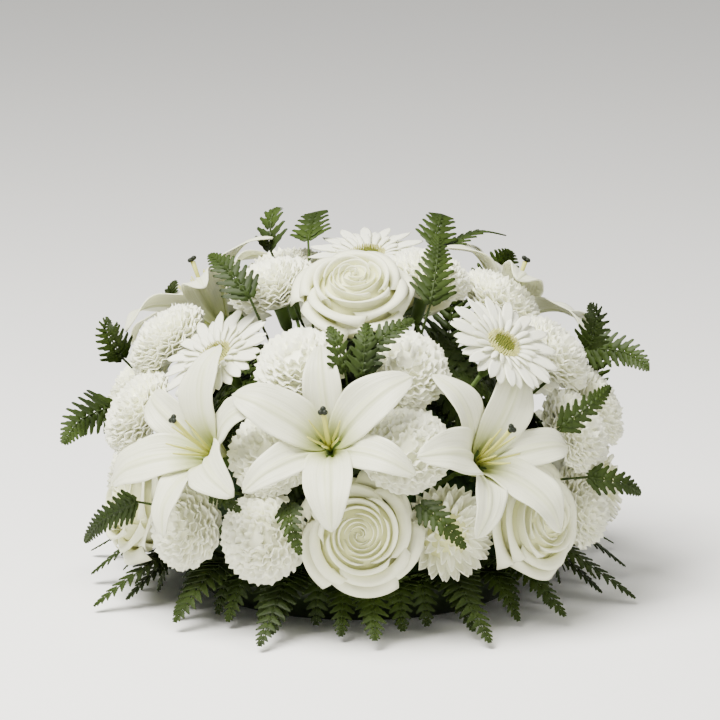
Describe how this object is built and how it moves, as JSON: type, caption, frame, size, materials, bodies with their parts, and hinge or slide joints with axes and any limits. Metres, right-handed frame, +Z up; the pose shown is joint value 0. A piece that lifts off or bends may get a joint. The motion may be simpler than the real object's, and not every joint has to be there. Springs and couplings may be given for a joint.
{
  "type": "sympathy posy",
  "caption": "Round sympathy posy of white lilies, roses, gerberas, chrysanthemums and carnations with fern, arranged in a foam-filled shallow dish",
  "frame": {"origin": "centre of the dish's flat underside", "axes": "+Z up, -Y towards the viewer of the posy's front, +X to the viewer's right"},
  "size_m": [0.4212, 0.4213, 0.2669],
  "materials": {
    "dish": "dark green moulded plastic",
    "foam": "matt wet floral foam",
    "lily": "waxy white tepals, yellow-green in the throat",
    "rose": "creamy white petals, yellow-green between the inner ones",
    "gerbera": "white rays round a yellow-green disc",
    "chrysanthemum": "white petals, greenish in the middle",
    "carnation": "soft white ruffled petals over a green calyx",
    "pistil": "pale yellow-green with a dark green tip",
    "fern": "satin leatherleaf fern"
  },
  "bodies": {
    "root": {"carnation_back_top": "carnation", "carnations_back": "carnation", "carnations_back_left": "carnation", "carnations_back_right": "carnation", "carnations_left": "carnation", "carnations_low_left": "carnation", "carnations_low_right": "carnation", "carnations_middle": "carnation", "carnations_right": "carnation", "carnations_top_right": "carnation", "carnations_upper_left": "carnation", "chrysanthemum_back": "chrysanthemum", "chrysanthemum_front": "chrysanthemum", "chrysanthemum_right": "chrysanthemum", "dish": "dish", "fern_back_left": "fern", "fern_back_right": "fern", "fern_centre": "fern", "fern_left": "fern", "fern_low_left": "fern", "fern_low_right": "fern", "fern_middle_left": "fern", "fern_middle_right": "fern", "fern_right": "fern", "fern_side_right": "fern", "fern_skirt_1": "fern", "fern_skirt_2": "fern", "fern_skirt_3": "fern", "fern_skirt_4": "fern", "fern_skirt_5": "fern", "fern_skirt_6": "fern", "fern_skirt_7": "fern", "fern_skirt_8": "fern", "fern_top_left": "fern", "fern_top_right": "fern", "fern_upper_left": "fern", "fern_upper_right": "fern", "foam": "foam", "gerbera_back": "gerbera", "gerbera_left": "gerbera", "gerbera_right": "gerbera", "gerbera_top": "gerbera", "lily_back": "lily", "lily_back_left": "lily", "lily_back_left_pistil": "pistil", "lily_back_pistil": "pistil", "lily_back_right": "lily", "lily_back_right_pistil": "pistil", "lily_front": "lily", "lily_front_pistil": "pistil", "lily_left": "lily", "lily_left_pistil": "pistil", "lily_right": "lily", "lily_right_pistil": "pistil", "rose_back": "rose", "rose_back_left": "rose", "rose_front": "rose", "rose_left": "rose", "rose_right": "rose", "rose_top": "rose"}
  },
  "joints": []
}
